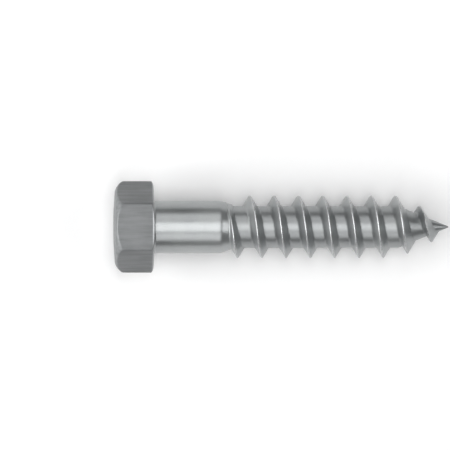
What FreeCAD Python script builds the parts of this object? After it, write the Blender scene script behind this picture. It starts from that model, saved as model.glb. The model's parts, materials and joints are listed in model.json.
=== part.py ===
"""Coach screw: a wood screw with a hexagon head, one forged and rolled piece of steel.

It is modelled along its own axis first: the bearing face under the head is at x = 0, the head is
behind it at negative x, and the shank and the point run to positive x. One pair of head corners is
at +Y and -Y, so one flat looks straight up and its opposite straight down. At the end the screw is
laid on its side as it comes to rest, on a head flat and a thread crest, with the point to +X.
All lengths are in millimetres and all angles in degrees.
"""
import FreeCAD, Part
import math
import os

import Sketcher
from FreeCAD import Placement, Rotation, Vector

# Driving sizes, one row of the spreadsheet each: name, value, what it measures.
SIZES = [
    ("shank_length", 50.0, "nominal length, from the bearing face to the tip"),
    ("head_height", 6.74, "thickness of the hexagon head"),
    ("across_flats", 13.55, "spanner size of the head"),
    ("face_disc_dia", 6.1, "flat disc in the middle of the head's end face"),
    ("crown_dia", 12.1, "circle where the crown of the end face meets the bevel"),
    ("crown_drop", 0.2, "fall of the crown from the flat disc to that circle"),
    ("bevel_depth", 1.66, "depth of the rounded bevel at the corners of the head"),
    ("bevel_radius", 2.66, "radius of the bevel's round section"),
    ("shank_dia", 8.85, "plain shank, thinner than the thread because it is rolled"),
    ("plain_length", 11.37, "plain shank, from the bearing face to the neck"),
    ("neck_length", 1.9, "taper of the neck, from the plain shank down to the core"),
    ("neck_end_dia", 7.58, "end of that taper, a little above the core"),
    ("neck_radius", 2.0, "round between the plain shank and the taper"),
    ("shoulder_slope", 45.0, "angle of the small shoulder that ends the neck"),
    ("core_dia", 7.08, "core between the ridges of the thread"),
    ("crest_dia", 10.62, "outside of the thread"),
    ("pitch", 4.117, "advance of the thread in one turn"),
    ("flank_angle", 60.0, "angle between the two flanks of the ridge"),
    ("crest_land", 0.15, "narrow land along the top of the ridge"),
    ("rise_turns", 0.45, "part of a turn in which the ridge rises out of the neck"),
    ("point_length", 8.55, "cone of the point"),
    ("tip_dia", 0.2, "blunt end of the point"),
    ("crest_slope", 25.5, "slope of the crests over the point"),
    ("bare_point", 1.8, "bare end of the point, past the thread"),
    ("fall_turns", 0.25, "part of a turn in which the ridge falls to the point"),
]

# The head, the shank and the point are turned shapes about the X axis. Their profiles are listed
# as corners (x, radius), each an expression of the sizes.
HEX_RADIUS = "sizes.across_flats / sqrt(3)"
FACE_X = "-sizes.head_height"
NECK_END_X = "sizes.plain_length + sizes.neck_length"
POINT_X = "sizes.shank_length - sizes.point_length"
NECK_SLOPE = "atan((sizes.shank_dia - sizes.neck_end_dia) / 2 / sizes.neck_length)"
NECK_TANGENT = f"sizes.neck_radius * tan({NECK_SLOPE} / 2)"
STEM = [
    ("0", "sizes.shank_dia / 2"),
    (f"sizes.plain_length - {NECK_TANGENT}", "sizes.shank_dia / 2"),
    (f"sizes.plain_length + {NECK_TANGENT} * cos({NECK_SLOPE})",
     f"sizes.shank_dia / 2 - {NECK_TANGENT} * sin({NECK_SLOPE})"),
    (NECK_END_X, "sizes.neck_end_dia / 2"),
    (NECK_END_X + " + (sizes.neck_end_dia - sizes.core_dia) / 2 / tan(sizes.shoulder_slope)",
     "sizes.core_dia / 2"),
    (POINT_X, "sizes.core_dia / 2"),
    ("sizes.shank_length", "sizes.tip_dia / 2"),
]

# A cutting profile reaches this far past the head, and the ridge is rooted this deep in the core.
CUT_MARGIN = 1.0
ROOT_DEPTH = 0.15
# The ridge's faces reach over this part of a turn, with this many points to a turn.
FACE_TURNS = 0.5
POINTS_PER_TURN = 24


def make_sheet(doc):
    """Put the driving sizes into a spreadsheet, each in a cell with an alias."""
    sheet = doc.addObject("Spreadsheet::Sheet", "sizes")
    for row, (alias, value, meaning) in enumerate(SIZES, start=1):
        sheet.set(f"A{row}", alias)
        sheet.set(f"B{row}", str(value))
        sheet.set(f"C{row}", meaning)
        sheet.setAlias(f"B{row}", alias)
    doc.recompute()
    return sheet


def add_sketch(body, name, plane):
    """Start a sketch on one of the body's own origin planes."""
    sketch = body.newObject("Sketcher::SketchObject", name)
    support = next(item for item in body.Origin.OriginFeatures if item.Role == plane)
    sketch.AttachmentSupport = [(support, "")]
    sketch.MapMode = "FlatFace"
    return sketch


def left_arc(start, end, radius):
    """Arc between two points that bulges to the left of the way from start to end.

    It is drawn counter-clockwise, as a sketch wants its arcs, so it begins at end.
    """
    half = (end - start) / 2
    to_centre = Vector(half.y, -half.x, 0).normalize() * math.sqrt(radius**2 - half.Length**2)
    circle = Part.Circle(start + half + to_centre, Vector(0, 0, 1), radius)
    return Part.ArcOfCircle(circle, circle.parameter(end), circle.parameter(start))


def draw_profile(sketch, corners, arcs=None):
    """Draw a closed profile and bind it to the spreadsheet.

    Each corner is a pair of expressions, for x and y in the sketch. A side whose number is a key
    of arcs is an arc that bulges to its left, with the radius that the expression gives.
    """
    sheet = sketch.Document.getObject("sizes")
    arcs = arcs or {}
    points = [Vector(sheet.evalExpression(x), sheet.evalExpression(y), 0) for x, y in corners]
    for side, start in enumerate(points):
        end = points[(side + 1) % len(points)]
        if side in arcs:
            sketch.addGeometry(left_arc(start, end, sheet.evalExpression(arcs[side])), False)
        else:
            sketch.addGeometry(Part.LineSegment(start, end), False)

    def bind(constraint, text):
        number = sketch.addConstraint(constraint)
        if "sizes." in text:
            sketch.setExpression(f"Constraints[{number}]", text)

    # Vertex 1 is where a side begins in the sketch and 2 is where it ends.
    first = [2 if side in arcs else 1 for side in range(len(points))]
    for side, (x, y) in enumerate(corners):
        before = (side - 1) % len(points)
        sketch.addConstraint(Sketcher.Constraint(
            "Coincident", before, 3 - first[before], side, first[side]))
        at = points[side]
        bind(Sketcher.Constraint("DistanceX", side, first[side], at.x), x)
        bind(Sketcher.Constraint("DistanceY", side, first[side], at.y), y)
    for side, radius in arcs.items():
        bind(Sketcher.Constraint("Radius", side, sheet.evalExpression(radius)), radius)


def turn_profile(body, kind, name, corners, arcs=None):
    """Add a full turn of a profile about the X axis, or take one away."""
    sketch = add_sketch(body, name + "_profile", "XY_Plane")
    draw_profile(sketch, corners, arcs)
    feature = body.newObject(kind, name)
    feature.Profile = sketch
    feature.ReferenceAxis = (sketch, ["H_Axis"])
    feature.Angle = 360
    return feature


def build_blank(doc):
    """Hexagon head, plain shank, neck, core and point: everything except the thread."""
    body = doc.addObject("PartDesign::Body", "blank")

    hexagon = add_sketch(body, "hexagon", "YZ_Plane")
    corners = [(f"{HEX_RADIUS} * cos({60 * k})", f"{HEX_RADIUS} * sin({60 * k})")
               for k in range(6)]
    draw_profile(hexagon, corners)
    head = body.newObject("PartDesign::Pad", "head")
    head.Profile = hexagon
    head.Reversed = True
    head.setExpression("Length", "sizes.head_height")

    # The end face has a flat disc, a shallow crown around it and a rounded bevel over the corners.
    outside = f"{HEX_RADIUS} + {CUT_MARGIN}"
    turn_profile(body, "PartDesign::Groove", "bevel", [
        (FACE_X, "sizes.face_disc_dia / 2"),
        (f"{FACE_X} + sizes.crown_drop", "sizes.crown_dia / 2"),
        (f"{FACE_X} + sizes.bevel_depth", HEX_RADIUS),
        (f"{FACE_X} + sizes.bevel_depth", outside),
        (f"{FACE_X} - {CUT_MARGIN}", outside),
        (f"{FACE_X} - {CUT_MARGIN}", "sizes.face_disc_dia / 2"),
    ], arcs={1: "sizes.bevel_radius"})

    turn_profile(body, "PartDesign::Revolution", "shank", [
        ("0", "0"), *STEM, ("sizes.shank_length", "0"),
    ], arcs={2: "sizes.neck_radius"})
    doc.recompute()
    return body


def stem_radius(sheet, x):
    """Radius of the shank, neck, core or point at this distance from the bearing face."""
    stem = [(sheet.evalExpression(at), sheet.evalExpression(radius)) for at, radius in STEM]
    for (x0, radius0), (x1, radius1) in zip(stem, stem[1:]):
        if x <= x1:
            return radius0 + (radius1 - radius0) * (x - x0) / (x1 - x0)
    return stem[-1][1]


def ruled_face(edge, other_edge, radius, other_radius):
    """Ruled face between two long edges of the ridge, each with its mean radius.

    Each side has the inverse of its radius as weight. The places along a ruling then follow that
    inverse, so straight lines over a flank are straight in the face's own parameters as well.
    """
    surface = Part.makeRuledSurface(edge, other_edge).Surface
    for column, weight in ((1, 1), (2, radius / other_radius)):
        surface.setWeightCol(column, [weight] * surface.NbUPoles)
    return surface.toShape()


def ease(share):
    """Smooth step from 0 to 1."""
    return (1 - math.cos(math.pi * share)) / 2


class Ridge:
    """The thread: a right-hand ridge with a trapezoid section, which rises and falls at its ends.

    Turn 0 is at the +Y side of the neck. There the ridge is still buried, with the foot of its
    flank at the end of the neck. It ends buried in the point.
    """

    def __init__(self, sheet):
        self.sheet = sheet
        self.core = sheet.core_dia / 2
        self.crest = sheet.crest_dia / 2
        self.spread = math.tan(math.radians(sheet.flank_angle / 2))
        self.half_foot = sheet.crest_land / 2 + (self.crest - self.core) * self.spread
        self.first_x = sheet.evalExpression(NECK_END_X) - self.half_foot
        self.last_x = sheet.shank_length - sheet.bare_point
        self.point_x = sheet.evalExpression(POINT_X)
        self.turns = (self.last_x - self.first_x) / sheet.pitch

    def x(self, turn):
        """Place of the crest along the axis."""
        return self.first_x + self.sheet.pitch * turn

    def full_crest(self, turn):
        """Radius of the crest without its run-in and run-out: level, then sloping to the point."""
        drop = math.tan(math.radians(self.sheet.crest_slope))
        return self.crest - max(0, self.x(turn) - self.point_x) * drop

    def crest_radius(self, turn):
        """Radius of the crest."""
        rise, fall = self.sheet.rise_turns, self.sheet.fall_turns
        if turn < rise:
            buried = stem_radius(self.sheet, self.first_x) - ROOT_DEPTH
            return buried + (self.full_crest(rise) - buried) * ease(turn / rise)
        if turn > self.turns - fall:
            buried = stem_radius(self.sheet, self.last_x) - ROOT_DEPTH
            start = self.full_crest(self.turns - fall)
            return buried + (start - buried) * ease((self.turns - turn) / fall)
        return self.full_crest(turn)

    def foot_radius(self, turn):
        """Radius to which the ridge goes down inside the core, on its lower side."""
        lower_side = stem_radius(self.sheet, self.x(turn) + self.half_foot)
        return min(self.core, lower_side) - ROOT_DEPTH

    def section(self, turn):
        """The four corners of the ridge: the two edges of the land, then the two feet."""
        angle = 2 * math.pi * turn
        crest, foot = self.crest_radius(turn), self.foot_radius(turn)
        half_land = self.sheet.crest_land / 2
        half_foot = half_land + (crest - foot) * self.spread
        corners = [(-half_land, crest), (half_land, crest), (half_foot, foot), (-half_foot, foot)]
        return [Vector(self.x(turn) + along, radius * math.cos(angle), radius * math.sin(angle))
                for along, radius in corners]

    def shape(self):
        """One closed solid: faces between helical curves, a short stretch each, and two ends."""
        count = math.ceil(self.turns / FACE_TURNS)
        marks = [self.turns * mark / count for mark in range(count + 1)]
        faces = []
        for start, end in zip(marks, marks[1:]):
            edges = self.edges(start, end)
            middle = (start + end) / 2
            crest, foot = self.crest_radius(middle), self.foot_radius(middle)
            radii = [crest, crest, foot, foot]
            for one, other in ((0, 1), (1, 2), (2, 3), (3, 0)):
                faces.append(ruled_face(edges[one], edges[other], radii[one], radii[other]))
        for turn in (0, self.turns):
            section = self.section(turn)
            faces.append(Part.Face(Part.makePolygon([*section, section[0]])))
        shell = Part.Shell(faces)
        shell.sewShape()
        solid = Part.Solid(shell)
        if solid.Volume < 0:
            solid.reverse()
        return solid

    def edges(self, start, end):
        """The four long edges of the ridge between two turns, curves through their points."""
        steps = math.ceil((end - start) * POINTS_PER_TURN)
        turns = [start + (end - start) * step / steps for step in range(steps + 1)]
        sections = [self.section(turn) for turn in turns]
        edges = []
        for corner in range(4):
            curve = Part.BSplineCurve()
            curve.interpolate(Points=[section[corner] for section in sections], Parameters=turns)
            edges.append(curve.toShape())
        return edges


def build_ridge(doc):
    """Add the thread's ridge as a shape of its own."""
    ridge = doc.addObject("Part::Feature", "ridge")
    ridge.Shape = Ridge(doc.getObject("sizes")).shape()
    return ridge


def resting_tilt(sheet):
    """Angle by which the point hangs down when the screw lies on a head flat and on a crest.

    The head touches along the edge of its lower flat and the bearing face, and the point side at
    whichever crest on the -Z side comes first as the point goes down.
    """
    ridge = Ridge(sheet)
    slopes = []
    turn = 0.75
    while turn < ridge.turns:
        slopes.append((sheet.across_flats / 2 - ridge.crest_radius(turn)) / ridge.x(turn))
        turn += 1
    return math.degrees(math.atan(min(slopes)))


def lay_down(screw, tilt):
    """Tilt the screw and stand it on z = 0, with its box centred over the origin."""
    screw.Placement = Placement(Vector(), Rotation(Vector(0, 1, 0), tilt))
    box = screw.Shape.optimalBoundingBox(False)
    screw.Placement.Base = Vector(-box.Center.x, -box.Center.y, -box.ZMin)


def check(doc, screw):
    """Stop if a feature failed or the screw isn't one sound solid."""
    for item in doc.Objects:
        if "Invalid" in item.State or "Error" in item.State:
            raise RuntimeError(f"{item.Name} failed: {item.State}")
    shape = screw.Shape
    if shape.isNull() or not shape.isValid() or len(shape.Solids) != 1:
        raise RuntimeError(f"{screw.Label} is not one valid solid")


def main():
    doc = FreeCAD.newDocument("coach_screw")
    sheet = make_sheet(doc)
    screw = doc.addObject("Part::Fuse", "coach_screw")
    screw.Base = build_blank(doc)
    screw.Tool = build_ridge(doc)
    screw.Label = "coach_screw"
    doc.recompute()
    lay_down(screw, resting_tilt(sheet))
    check(doc, screw)

    os.makedirs("parts", exist_ok=True)
    screw.Shape.exportStep(f"parts/{screw.Label}.step")
    box = screw.Shape.optimalBoundingBox(False)
    print(f"{screw.Label}: {screw.Shape.Volume:.1f} mm3, {len(screw.Shape.Faces)} faces, "
          f"{box.XLength:.2f} x {box.YLength:.2f} x {box.ZLength:.2f} mm, "
          f"tilt {resting_tilt(sheet):.3f} degrees")


main()
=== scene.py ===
# %% [markdown]
# # Coach screw
#
# A coach screw is a heavy wood screw with a hexagon head for a spanner. This one lies on white
# paper and is seen from straight above, with its head at the left.
#
# The real thing is one piece of steel: the head is forged on a wire and trimmed to a hexagon, and
# the shank, the thread and the point are rolled. So it is one mesh here as well. It is worked out
# in millimetres along the screw's own axis, with the bearing face under the head at 0, and moved
# to where it lies once it is a mesh.

# %% Load the frame
import bpy
import numpy as np
from mathutils import Matrix, Vector
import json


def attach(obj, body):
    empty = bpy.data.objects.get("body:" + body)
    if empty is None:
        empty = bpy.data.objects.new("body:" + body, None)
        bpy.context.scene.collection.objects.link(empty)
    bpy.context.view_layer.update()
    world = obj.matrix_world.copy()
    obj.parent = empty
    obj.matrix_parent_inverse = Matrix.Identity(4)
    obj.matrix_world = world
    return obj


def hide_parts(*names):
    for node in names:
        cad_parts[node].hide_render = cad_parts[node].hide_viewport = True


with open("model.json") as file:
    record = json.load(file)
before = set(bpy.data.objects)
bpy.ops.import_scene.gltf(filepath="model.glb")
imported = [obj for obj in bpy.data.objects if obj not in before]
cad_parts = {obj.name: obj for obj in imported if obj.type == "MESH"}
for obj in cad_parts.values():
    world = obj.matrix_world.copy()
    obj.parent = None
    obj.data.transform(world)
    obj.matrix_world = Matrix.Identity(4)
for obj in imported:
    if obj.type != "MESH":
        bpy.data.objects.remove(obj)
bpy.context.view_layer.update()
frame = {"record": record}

# %% [markdown]
# ## Where the screw lies
#
# It rests on one flat of the head and on one crest of the thread, so its axis hangs down a little
# towards the point. That tilt could be worked out again here. The record's mounts already have
# it: the middle of the head, and the direction in which a spanner goes on.

# %% Find the screw's axis
HEAD_HEIGHT = 6.74
MM = 0.001

mounts = {mount["name"]: mount for mount in frame["record"]["mounts"]}
along = -Vector(mounts["hex_drive"]["axis"]).normalized()
sideways = Vector((0, 1, 0))
upright = along.cross(sideways)
bearing_centre = Vector(mounts["hex_drive"]["pos_m"]) + along * HEAD_HEIGHT / 2 * MM
screw_to_row = Matrix.Translation(bearing_centre) @ Matrix(
    (along, sideways, upright)).transposed().to_4x4() @ Matrix.Scale(MM, 4)
print("bearing face", bearing_centre, "axis", along)

# %% [markdown]
# ## The profile of the blank
#
# Everything but the thread is a turned shape, so one line of corners describes it, from the middle
# of the end face to the tip. A corner is a place along the axis and a radius. Between two corners
# the line is straight, or it is an arc.
#
# The end face has a flat disc, a shallow crown and a big rounded bevel. Forging leaves a smaller
# round under the head, and both rounds cut the six flats in arcs. The shank tapers into the core
# through a soft neck.

# %% Write down the blank's sizes
ACROSS_FLATS = 13.55
CORNER_RADIUS = ACROSS_FLATS / np.sqrt(3)
FACE_DISC, CROWN_RADIUS, CROWN_DROP = 3.05, 6.05, 0.2
BEVEL_DEPTH, BEVEL_RADIUS = 1.66, 2.66
BEARING_RADIUS, UNDERSIDE_RADIUS = 6.7, 1.7
SHANK, UNDER_HEAD_ROUND = 4.425, 0.35
NECK_START, NECK_END, NECK_END_RADIUS, NECK_ROUND = 11.37, 13.27, 3.79, 2.0
CORE = 3.54
LENGTH = 50.0
POINT_START, TIP, TIP_RADIUS = 41.45, 49.97, 0.1
print("head", ACROSS_FLATS, "mm over flats and", round(2 * CORNER_RADIUS, 2), "over corners")

# %% [markdown]
# A drawing program would keep this line as curves. Here it becomes points a hundredth of a
# millimetre apart, because points can be softened and spread out again by plain sums.

# %% Draw lines and arcs
STEP = 0.01


def line(start, end):
    """Points every hundredth of a millimetre on the straight way from start to end."""
    start, end = np.array(start), np.array(end)
    count = max(2, int(np.hypot(*(end - start)) / STEP))
    return start + (end - start) * np.linspace(0, 1, count, endpoint=False)[:, None]


def arc(start, end, radius, turn):
    """Points on a circle of this radius from start to end, bulging to the left where turn is 1.

    The centre is on the middle line of the chord, at sqrt(radius^2 - half the chord^2) from it.
    """
    start, end = np.array(start), np.array(end)
    half = (end - start) / 2
    away = np.array((half[1], -half[0])) * turn / np.hypot(*half)
    centre = start + half + away * np.sqrt(radius**2 - half @ half)
    first, last = (np.arctan2(*(point - centre)[::-1]) for point in (start, end))
    sweep = (last - first + np.pi) % (2 * np.pi) - np.pi
    angles = first + sweep * np.linspace(0, 1, int(abs(sweep) * radius / STEP), endpoint=False)
    return centre + radius * np.stack((np.cos(angles), np.sin(angles)), axis=1)


print("one millimetre of line has", len(line((0, 0), (1, 0))), "points")

# %% [markdown]
# Some corners follow from others, so they are worked out first. An arc that joins two lines starts
# its radius times the tangent of half their angle before the corner, which places the neck's
# round. The round under the head meets the bearing face without a corner, so it begins where its
# circle is as wide as the hexagon's corners. The step from the neck to the core slopes at 45
# degrees.

# %% Draw the profile
neck_slope = np.arctan((SHANK - NECK_END_RADIUS) / (NECK_END - NECK_START))
tangent = NECK_ROUND * np.tan(neck_slope / 2)
neck_from = (NECK_START - tangent, SHANK)
neck_to = (NECK_START + tangent * np.cos(neck_slope), SHANK - tangent * np.sin(neck_slope))
under_corner = UNDERSIDE_RADIUS - np.sqrt(
    UNDERSIDE_RADIUS**2 - (CORNER_RADIUS - BEARING_RADIUS)**2)
end_x = -HEAD_HEIGHT
core_x = NECK_END + NECK_END_RADIUS - CORE
profile = np.concatenate([
    line((end_x, 0), (end_x, FACE_DISC)),
    line((end_x, FACE_DISC), (end_x + CROWN_DROP, CROWN_RADIUS)),
    arc((end_x + CROWN_DROP, CROWN_RADIUS), (end_x + BEVEL_DEPTH, CORNER_RADIUS),
        BEVEL_RADIUS, 1),
    line((end_x + BEVEL_DEPTH, CORNER_RADIUS), (-under_corner, CORNER_RADIUS)),
    arc((-under_corner, CORNER_RADIUS), (0, BEARING_RADIUS), UNDERSIDE_RADIUS, 1),
    line((0, BEARING_RADIUS), (0, SHANK + UNDER_HEAD_ROUND)),
    arc((0, SHANK + UNDER_HEAD_ROUND), (UNDER_HEAD_ROUND, SHANK), UNDER_HEAD_ROUND, -1),
    line((UNDER_HEAD_ROUND, SHANK), neck_from),
    arc(neck_from, neck_to, NECK_ROUND, 1),
    line(neck_to, (NECK_END, NECK_END_RADIUS)),
    line((NECK_END, NECK_END_RADIUS), (core_x, CORE)),
    line((core_x, CORE), (POINT_START, CORE)),
    line((POINT_START, CORE), (TIP, TIP_RADIUS)),
    line((TIP, TIP_RADIUS), (TIP, 0)),
    [(TIP, 0)],
])
print("profile points", len(profile))

# %% [markdown]
# ## Soft corners
#
# Forged and plated steel has no sharp corner. A bevel on the finished mesh would have to find its
# edges, so the line is softened before there is a mesh: each of its points moves to the weighted
# average of its neighbours within a tenth of a millimetre. Straight runs stay where they are.

# %% Soften the profile
SOFTNESS = 0.12

half = int(SOFTNESS / STEP)
window = np.hanning(2 * half + 1)
window /= window.sum()
# Past each pole the line goes on as its own mirror image.
padded = np.concatenate([
    np.stack((profile[half:0:-1, 0], -profile[half:0:-1, 1]), axis=1), profile,
    np.stack((profile[-2:-half - 2:-1, 0], -profile[-2:-half - 2:-1, 1]), axis=1)])
smooth = np.stack([np.convolve(padded[:, axis], window, "valid") for axis in (0, 1)], axis=1)
smooth[[0, -1], 1] = 0
print("softening moved a point by at most", np.abs(smooth - profile).max(), "mm")

# %% [markdown]
# ## Rows where they are needed
#
# Even rows would waste most of the mesh on the straight shank. These are spread so that each
# takes an equal share of turning plus length, and length counts for more on the head, where the
# rounds cross the flats, and on the neck, where the thread rises.

# %% Choose the rows
ROWS = 250
TURN_SHARE, PLAIN_SHARE, HEAD_SHARE, NECK_SHARE = 1.5, 0.35, 1.8, 0.9
INWARD, PAST_BEARING, OFF_EDGE, OFF_NECK = 0.2, 0.1, 0.3, 0.5

way = np.diff(smooth, axis=0)
length = np.hypot(way[:, 0], way[:, 1])
heading = np.unwrap(np.arctan2(way[:, 1], way[:, 0]))
turning = np.abs(np.gradient(heading))
at_x, at_radius = smooth[1:].T
near_flats = (at_x < PAST_BEARING) & (at_radius > CROWN_RADIUS - INWARD)
on_flats = (at_x > end_x + BEVEL_DEPTH + OFF_EDGE) & (at_x < -under_corner - OFF_EDGE)
near_neck = (at_x > NECK_START - OFF_NECK) & (at_x < NECK_END + OFF_NECK)
share = turning * TURN_SHARE + length * (
    PLAIN_SHARE + HEAD_SHARE * (near_flats & ~on_flats) + NECK_SHARE * near_neck)
share = np.concatenate([[0], np.cumsum(share)])
wanted = np.linspace(0, share[-1], ROWS)
row_x, row_radius = (np.interp(wanted, share, smooth[:, axis]) for axis in (0, 1))
print("rows", ROWS, "closest", np.hypot(np.diff(row_x), np.diff(row_radius)).min())

# %% [markdown]
# ## Six flats on a turned blank
#
# Real heads are made round and then trimmed, and the mesh does the same. In each direction the
# surface is as far out as the turned profile or as the hexagon, whichever is less.
#
# "Whichever is less" has a sharp crease. Where the two numbers are within a set softness of each
# other, a parabola takes a little more off, so the crease is rounded like a worn edge. A boolean
# would cut the same shape, but it would leave the crease sharp and the faces uneven.

# %% Measure out the hexagon
CORNER_ROUND = 0.022


def smooth_less(one, other, softness):
    """The lesser of two numbers, less softness / 4 where they are equal.

    That part falls off as the square of 1 - difference / softness, and is nothing past softness.
    """
    close = np.clip(1 - np.abs(one - other) / softness, 0, 1)
    return np.minimum(one, other) - close**2 * softness / 4


def smooth_more(one, other, softness):
    """The greater of two numbers, rounded where they meet: the smooth lesser, upside down."""
    return -smooth_less(-one, -other, softness)


def hexagon_reach(angle):
    """Distance from the axis to the hexagon: half the width over flats over the best cosine."""
    to_flat = (angle % (np.pi / 3)) - np.pi / 6
    cosine = smooth_more(np.cos(to_flat), np.cos(np.pi / 3 - np.abs(to_flat)), CORNER_ROUND)
    return ACROSS_FLATS / 2 / cosine


print("reach over a flat and a corner", hexagon_reach(np.array((np.pi / 6, 0))))

# %% [markdown]
# Every row of the mesh is a ring of points. Evenly spread, they would cut across the six corners,
# the sharpest thing on the head. So on the head the points crowd at the corners, and under it
# they are even again, as on any turned piece.

# %% Work out the blank's surface
COLUMNS = 228
CROWD, EVEN_HEIGHT, EVEN_RADIUS, EVEN_PAST = 0.82, 0.2, 1.5, 0.05
EDGE_ROUND = 0.22

even = np.linspace(0, 2 * np.pi, COLUMNS, endpoint=False)
sixth = even % (np.pi / 3) / (np.pi / 3)
crowded = even - sixth * np.pi / 3 + (1 - np.cos(np.pi * sixth)) / 2 * np.pi / 3
# 0 on the head and 1 under it, with the change spread over the outer part of the bearing face.
to_even = np.clip((row_x + EVEN_HEIGHT) / EVEN_HEIGHT, 0, 1) * np.clip(
    (BEARING_RADIUS - row_radius) / EVEN_RADIUS, 0, 1)
to_even = np.maximum(to_even, row_x > EVEN_PAST)
blank_angle = even + (crowded - even) * CROWD * (1 - to_even)[:, None]

blank_radius = smooth_less(row_radius[:, None], hexagon_reach(blank_angle), EDGE_ROUND)
blank_x = np.repeat(row_x[:, None], COLUMNS, axis=1)
print("blank", blank_radius.shape, "widest", blank_radius.max())

# %% [markdown]
# ## The thread
#
# The thread is one ridge wound round the core like a vine. Rolling presses it up out of the
# blank, so it rises out of the neck and sinks back into the point. Its cross-section is a tooth
# with a narrow rounded crest and flanks that stand 60 degrees apart.
#
# Blender's Screw modifier could wind a section, but not let it rise and sink. So this is a
# surface of two parameters: the turn along the helix, and the place across the tooth.

# %% Follow the crest
CREST, PITCH, HALF_LAND, HALF_ANGLE = 5.31, 4.117, 0.075, np.radians(30)
RISE_TURNS, FALL_TURNS = 0.45, 0.25
CREST_SLOPE, BARE_POINT, BURIED = np.radians(25.5), 1.8, 0.15

half_foot = HALF_LAND + (CREST - CORE) * np.tan(HALF_ANGLE)
first_x = NECK_END - half_foot
last_x = LENGTH - BARE_POINT
turns = (last_x - first_x) / PITCH


def stem(x):
    """Radius of the shank, neck, core or point here, straight from one row to the next."""
    past_head = row_x > UNDER_HEAD_ROUND
    return np.interp(x, row_x[past_head], row_radius[past_head])


def ease(part):
    """Smooth step from 0 to 1: half of one minus the cosine of half a turn."""
    return (1 - np.cos(np.pi * np.clip(part, 0, 1))) / 2


def full_crest(turn):
    """Radius of a crest that never rises or sinks: level, less the slope over the point."""
    return CREST - np.maximum(0, first_x + PITCH * turn - POINT_START) * np.tan(CREST_SLOPE)


def crest_radius(turn):
    """Radius of the crest: eased from inside the neck to full, and from full into the point."""
    start, end = stem(first_x) - BURIED, stem(last_x) - BURIED
    rising = start + (CREST - start) * ease(turn / RISE_TURNS)
    before_fall = full_crest(turns - FALL_TURNS)
    falling = end + (before_fall - end) * ease((turns - turn) / FALL_TURNS)
    return np.where(turn < RISE_TURNS, rising,
                    np.where(turn > turns - FALL_TURNS, falling, full_crest(turn)))


print("thread turns", turns, "crest after two", crest_radius(2.0))

# %% [markdown]
# The tooth's radius is the crest less the distance from it over the tangent of half the flank
# angle. A smooth maximum with the core makes the root's fillet, as the rolls leave it. Past the
# fillet the surface runs a hair under the core, so that the two never show in the same place.

# %% Work out the thread's surface
COLUMNS_PER_TURN = 112
ROOT_ROUND, CREST_ROUND, SUNK = 0.36, 0.17, 0.004
# First, last and number of samples, which are closest on the crest, where the surface curves most.
CREST_SAMPLES, FLANK_SAMPLES = (0, 0.16, 6), (0.25, 0.8, 5)
ROOT_SAMPLES = (0.86, half_foot + 0.25, 9)

turn = np.linspace(0, turns, int(turns * COLUMNS_PER_TURN))[:, None]
across = np.concatenate([
    np.linspace(*samples) for samples in (CREST_SAMPLES, FLANK_SAMPLES, ROOT_SAMPLES)])
across = np.concatenate([-across[:0:-1], across])[None, :]
thread_x = first_x + PITCH * turn + across
crest = crest_radius(turn)
tooth = smooth_less(crest, crest - (np.abs(across) - HALF_LAND) / np.tan(HALF_ANGLE), CREST_ROUND)
core = stem(thread_x) - SUNK
thread_radius = smooth_more(core, tooth, ROOT_ROUND)
thread_radius[:, [0, -1]] = core[:, [0, -1]] - BURIED
print("thread points", thread_radius.shape, "from", thread_x.min(), "to", thread_x.max())

# %% [markdown]
# ## One mesh
#
# Both surfaces become points in space: along the axis, and radius times the cosine and sine of
# the angle. The blank closes with a fan of triangles at each end. The thread closes as a tube
# along its buried foot, with a flat cap at each end.

# %% Make points and faces


def around_axis(x, radius, angle):
    """Points in the screw's own frame: x, and radius times the cosine and sine of angle."""
    return np.stack((x, radius * np.cos(angle), radius * np.sin(angle)), axis=-1).reshape(-1, 3)


def grid_quads(rows, columns, offset):
    """Corners of a grid's quads, counted row by row, with the last column joined to the first."""
    row, column = np.meshgrid(np.arange(rows - 1), np.arange(columns), indexing="ij")
    beside = (column + 1) % columns
    corners = (row * columns + column, row * columns + beside,
               (row + 1) * columns + beside, (row + 1) * columns + column)
    return np.stack(corners, axis=-1).reshape(-1, 4) + offset


inner_rows = slice(1, ROWS - 1)
blank_points = around_axis(blank_x[inner_rows], blank_radius[inner_rows], blank_angle[inner_rows])
poles = np.array(((row_x[0], 0, 0), (row_x[-1], 0, 0)))
blank_quads = grid_quads(ROWS - 2, COLUMNS, 0)
first_pole = len(blank_points)
ring = np.arange(COLUMNS)
last_ring = ring + (ROWS - 3) * COLUMNS
fans = np.concatenate([
    np.stack((np.full(COLUMNS, first_pole), np.roll(ring, -1), ring), axis=1),
    np.stack((np.full(COLUMNS, first_pole + 1), last_ring, np.roll(last_ring, -1)), axis=1)])

thread_start = first_pole + len(poles)
stations, samples = thread_radius.shape
thread_points = around_axis(thread_x, thread_radius, 2 * np.pi * turn)
thread_quads = grid_quads(stations, samples, thread_start)[:, ::-1]
cap = np.arange(samples) + thread_start
caps = [cap.tolist(), (cap + (stations - 1) * samples)[::-1].tolist()]

points = np.concatenate([blank_points, poles, thread_points])
faces = [*blank_quads.tolist(), *fans.tolist(), *thread_quads.tolist(), *caps]
print("points", len(points), "triangles", sum(len(face) - 2 for face in faces))

# %% [markdown]
# Each point also keeps two things for the finish: its place in the screw's own millimetres, and
# how far it stands out on the tooth, from 0 at the core to 1 at the crest. A finish that reads
# them follows the steel, however the screw lies.

# %% Build the screw
TOOTH_LEAST = 0.2

mesh = bpy.data.meshes.new("coach_screw_steel")
mesh.from_pydata(points.tolist(), [], faces)
mesh.transform(screw_to_row)
mesh.shade_smooth()

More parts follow.
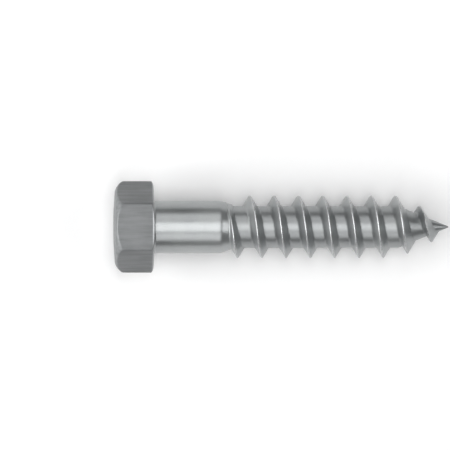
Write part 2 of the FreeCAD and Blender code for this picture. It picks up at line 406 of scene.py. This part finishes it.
height = np.zeros(len(points))
height[thread_start:] = np.clip(
    (thread_radius - core) / np.maximum(TOOTH_LEAST, crest - core), 0, 1).ravel()
mesh.attributes.new("tooth_height", "FLOAT", "POINT").data.foreach_set("value", height)
mesh.attributes.new("screw_place", "FLOAT_VECTOR", "POINT").data.foreach_set(
    "vector", points.ravel())
screw = bpy.data.objects.new("coach_screw_steel", mesh)
bpy.context.collection.objects.link(screw)
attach(screw, "root")
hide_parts("coach_screw")
print("screw", tuple(screw.dimensions))

# %% [markdown]
# ## Writing a finish
#
# A finish in Blender is a net of nodes. Written node by node it hides its sums, so a small class
# stands for one output of a node and turns plus, minus and times into Math nodes. Every other
# node comes from one method, which takes its settings and what goes into its sockets.

# %% Make the tools for a finish


class Field:
    """A number that varies over the surface, used in sums like a plain number."""

    def __init__(self, finish, node, output):
        self.finish, self.node, self.output = finish, node, output

    def math(self, operation, *values):
        """Math node of this kind over the given values."""
        return self.finish.node("Math", {"operation": operation}, dict(enumerate(values)))

    def __add__(self, other):
        return self.math("ADD", self, other)

    def __sub__(self, other):
        return self.math("SUBTRACT", self, other)

    def __rsub__(self, other):
        return self.math("SUBTRACT", other, self)

    def __mul__(self, other):
        return self.math("MULTIPLY", self, other)

    __radd__ = __add__


class Finish:
    """A material and the nodes that it is made of."""

    def __init__(self, name):
        self.material = bpy.data.materials.new(name)
        self.material.use_nodes = True
        self.tree = self.material.node_tree
        self.tree.nodes.clear()

    def node(self, kind, settings=None, sockets=None, output=0):
        """Add a node: its settings first, then a value or a link for each of the sockets."""
        node = self.tree.nodes.new("ShaderNode" + kind)
        for name, value in (settings or {}).items():
            setattr(node, name, value)
        for name, value in (sockets or {}).items():
            if isinstance(value, Field):
                self.tree.links.new(value.node.outputs[value.output], node.inputs[name])
            else:
                node.inputs[name].default_value = value
        return Field(self, node, output)

    def scaled(self, vector, factors):
        """A place multiplied by one factor along each axis."""
        return self.node("VectorMath", {"operation": "MULTIPLY"}, {0: vector, 1: factors})

    def noise(self, vector, scale, detail=3.0):
        """Cloudy noise around 0, from about -0.5 to 0.5."""
        return self.node("TexNoise", sockets={
            "Vector": vector, "Scale": scale, "Detail": detail}) - 0.5

    def span(self, value, low, high):
        """0 at low, 1 at high, and smooth between them."""
        return self.node("MapRange", {"interpolation_type": "SMOOTHSTEP"},
                         {"Value": value, "From Min": low, "From Max": high})

    def blend(self, share, one, other):
        """One colour where share is 0, the other where it is 1.

        Sockets 6 and 7 and output 2 are the ones of a Mix node that carry colours.
        """
        return self.node("Mix", {"data_type": "RGBA"}, {"Factor": share, 6: one, 7: other}, 2)


steel = Finish("zinc_plated_steel")
print("finish started", steel.material.name)

# %% [markdown]
# ## The steel
#
# The screw is zinc-plated steel: a grey metal with a cool tint, neither mirror nor matt. What
# makes it look real is what varies, and each variation has a cause:
#
# - The plating is a little cloudy everywhere.
# - The rolls leave fine lines round the shank and the thread.
# - The die shears the six flats, so the head is rougher and darker, with streaks along the axis.
# - The roots get painted shade, dirt and drawing soap dull them, and handling rubs the crests
#   bright.
#
# A picture could be wrapped round the screw, but it would stretch over the tooth. All of this is
# noise read at the screw's own millimetres instead. Squeezing the place along the axis before
# reading gives rings, and stretching it gives streaks.

# %% Find what varies over the steel
FORGED_ENDS, THREAD_STARTS = (-0.4, -0.1), (12.5, 14.0)
ROOT_SHADE_TO, RUBBED_FROM = 0.35, 0.86
RING_STRETCH, LINE_STRETCH, STREAK_STRETCH = (9, 0.5, 0.5), (0.35, 6, 6), (0.16, 1.7, 1.7)

# The second output of an attribute is a vector, and the third a number.
place = steel.node("Attribute", {"attribute_name": "screw_place"}, output=1)
tooth_height = steel.node("Attribute", {"attribute_name": "tooth_height"}, output=2)
axis_part = steel.node("SeparateXYZ", sockets={"Vector": place})
forged = 1 - steel.span(axis_part, *FORGED_ENDS)
# Painted shade: this mask darkens the thread's roots, where shade would fall, and also dulls their
# gloss.
root_shade_and_dirt = (1 - steel.span(tooth_height, 0, ROOT_SHADE_TO)) * steel.span(axis_part, *THREAD_STARTS)
rubbed = steel.span(tooth_height, RUBBED_FROM, 1)

# The scale of a noise is the number of its clouds in a millimetre.
clouds = steel.noise(place, 0.22)
speckle = steel.noise(place, 3.0, 4.0)
grain = steel.noise(place, 14.0, 2.0)
rolled_rings = steel.noise(steel.scaled(place, RING_STRETCH), 1.0, 4.0)
sheared_lines = steel.noise(steel.scaled(place, LINE_STRETCH), 1.0, 4.0)
lines = rolled_rings + (sheared_lines - rolled_rings) * forged
streaks = steel.noise(steel.scaled(place, STREAK_STRETCH), 1.0) * forged
print("nodes for what varies", len(steel.tree.nodes))

# %% [markdown]
# Zinc is a bluish grey. The clouds shift it between two near tones, and the forged head has two
# darker tones of its own. The same noises vary the gloss and raise a very shallow bump, so that a
# streak in the colour is a streak in the gloss too, as a real scratch is. Zinc plate has a thin
# dull film, so it isn't shaded as pure metal.

# %% Mix the steel
DARK_PLATING, LIGHT_PLATING = (0.305, 0.317, 0.322, 1), (0.37, 0.383, 0.384, 1)
DARK_SHEARED, LIGHT_SHEARED = (0.13, 0.135, 0.138, 1), (0.235, 0.242, 0.246, 1)
# The first tone on the next line is painted shade for the thread's roots; the second is rubbed
# wear on the crests.
ROOT_PAINTED_SHADE, RUBBED_CREST = (0.23, 0.239, 0.243, 1), (0.48, 0.49, 0.49, 1)
PLATED_ROUGHNESS, SHEARED_ROUGHNESS = 0.32, 0.24
METAL_SHARE, BUMP_STRENGTH, BUMP_DEPTH = 0.7, 0.35, 0.00004

plating = steel.blend(steel.span(clouds * 1.4 + speckle * 0.5 + 0.5, 0, 1),
                      DARK_PLATING, LIGHT_PLATING)
sheared = steel.blend(steel.span(streaks * 1.5 + clouds * 0.8 + 0.5, 0, 1),
                      DARK_SHEARED, LIGHT_SHEARED)
colour = steel.blend(forged * 0.85, plating, sheared)
# Painted shade: the roots are darkened towards the core.
colour = steel.blend(root_shade_and_dirt * 0.22, colour, ROOT_PAINTED_SHADE)
colour = steel.blend(rubbed * 0.5, colour, RUBBED_CREST)
wear = clouds * 0.09 + speckle * 0.08 + lines * 0.1 + root_shade_and_dirt * 0.05 - rubbed * 0.06
roughness = PLATED_ROUGHNESS + forged * SHEARED_ROUGHNESS + streaks * 0.22 + wear
bump = steel.node("Bump", sockets={
    "Strength": BUMP_STRENGTH, "Distance": BUMP_DEPTH,
    "Height": lines * 0.7 + speckle * 0.3 + grain * 0.25})
shader = steel.node("BsdfPrincipled", sockets={
    "Base Color": colour, "Metallic": METAL_SHARE, "Roughness": roughness, "Normal": bump})
steel.node("OutputMaterial", sockets={"Surface": shader})
mesh.materials.append(steel.material)
print("nodes of the steel", len(steel.tree.nodes))

# %% [markdown]
# ## The paper
#
# The screw lies on plain white paper. A sheet that ends in the picture would need a backdrop, so
# this one is far bigger than the picture. It is nearly white and not quite, with faint fibres,
# and the screw keeps its shadow on it.

# %% Lay the paper
PAPER_WIDTH, FIBRE_SCALE = 3.0, 900.0
PAPER_COLOURS = (0.94, 0.94, 0.94, 1), (0.96, 0.96, 0.96, 1)
PAPER_ROUGHNESS, PAPER_GLOSS = 0.9, 0.1

edge = PAPER_WIDTH / 2
sheet = bpy.data.meshes.new("paper")
sheet.from_pydata([(-edge, -edge, 0), (edge, -edge, 0), (edge, edge, 0), (-edge, edge, 0)], [],
                  [(0, 1, 2, 3)])
paper = bpy.data.objects.new("paper", sheet)
bpy.context.collection.objects.link(paper)
white = Finish("white_paper")
# The fourth output of the coordinates is the paper's own place, in metres.
fibres = white.noise(white.node("TexCoord", output=3), FIBRE_SCALE)
sheet_colour = white.blend(fibres + 0.5, *PAPER_COLOURS)
shader = white.node("BsdfPrincipled", sockets={
    "Base Color": sheet_colour, "Roughness": PAPER_ROUGHNESS, "Specular IOR Level": PAPER_GLOSS})
white.node("OutputMaterial", sockets={"Surface": shader})
paper.data.materials.append(white.material)
print("paper", tuple(paper.dimensions))

# %% [markdown]
# ## The light
#
# Metal shows what it mirrors, so each lamp is there for a part of the screw. The one overhead
# draws the bright band along the shank, its skirt softens the band's edges, and the far and near
# ones carry it out to the shoulders. Two at the left light the flanks that face the head and
# leave the others dark. One at the right meets the neck and the point, which slope that way.
#
# Small bright lamps would do the same with hard shadows and spots. These are wide and stand far
# off, as softboxes in a studio do.

# %% Light it
LAMP_DISTANCE = 1.5
WORLD_COLOUR, WORLD_STRENGTH = (0.97, 0.98, 1, 1), 0.06


def softbox(name, width, depth, radiance, azimuth, elevation):
    """Area lamp that shines at the middle of the screw from this azimuth and elevation.

    A lamp's power in watts is four times its radiance times its area.
    """
    lamp = bpy.data.lights.new(name, "AREA")
    lamp.shape, lamp.size, lamp.size_y = "RECTANGLE", width, depth
    lamp.energy = 4 * radiance * width * depth
    holder = bpy.data.objects.new(name, lamp)
    turn, rise = np.radians(azimuth), np.radians(elevation)
    direction = Vector((np.cos(turn) * np.cos(rise), np.sin(turn) * np.cos(rise), np.sin(rise)))
    holder.location = direction * LAMP_DISTANCE
    holder.rotation_euler = direction.to_track_quat("Z", "Y").to_euler()
    holder.visible_camera = False
    bpy.context.collection.objects.link(holder)
    print(name, round(lamp.energy, 2), "W")


softbox("overhead", 1.05, 0.5, 2.75, 0, 87)
softbox("overhead skirt", 0.5, 2.2, 0.85, 270, 88)
softbox("left", 1.2, 1.1, 2.75, 184, 30)
softbox("low left", 1.6, 0.45, 5.0, 184, 12)
softbox("far side", 0.6, 0.8, 1.5, 90, 44)
softbox("near side", 0.6, 0.8, 1.8, 270, 44)
softbox("right", 1.1, 0.35, 3.5, 0, 48)

world = bpy.data.worlds.new("studio")
world.use_nodes = True
background = world.node_tree.nodes["Background"]
background.inputs["Color"].default_value = WORLD_COLOUR
background.inputs["Strength"].default_value = WORLD_STRENGTH
bpy.context.scene.world = world
bpy.context.scene.view_settings.view_transform = "Standard"

# %% [markdown]
# ## The camera
#
# The view has no perspective, as in a catalogue. An orthographic camera would give just that. A
# long lens far above comes close to it, and that is how such a screw would be photographed. The
# lens follows from the height and from the width that the picture should show. The bearing face
# is at the picture's 153rd pixel across, and the axis at its 227th down.

# %% Place the camera
PICTURE, PIXELS_PER_MM = 450, 5.91
BEARING_PIXEL, AXIS_PIXEL = 153.5, 226.93
CAMERA_HEIGHT = 1.2

camera = bpy.data.cameras.new("camera")
camera.lens = camera.sensor_width * CAMERA_HEIGHT / (PICTURE / PIXELS_PER_MM * MM)
viewer = bpy.data.objects.new("camera", camera)
viewer.location = (
    bearing_centre.x + (PICTURE / 2 - BEARING_PIXEL) / PIXELS_PER_MM * MM,
    (AXIS_PIXEL - PICTURE / 2) / PIXELS_PER_MM * MM,
    bearing_centre.z + CAMERA_HEIGHT)
bpy.context.collection.objects.link(viewer)
bpy.context.scene.camera = viewer
print("lens", round(camera.lens, 1), "mm, at", tuple(viewer.location))
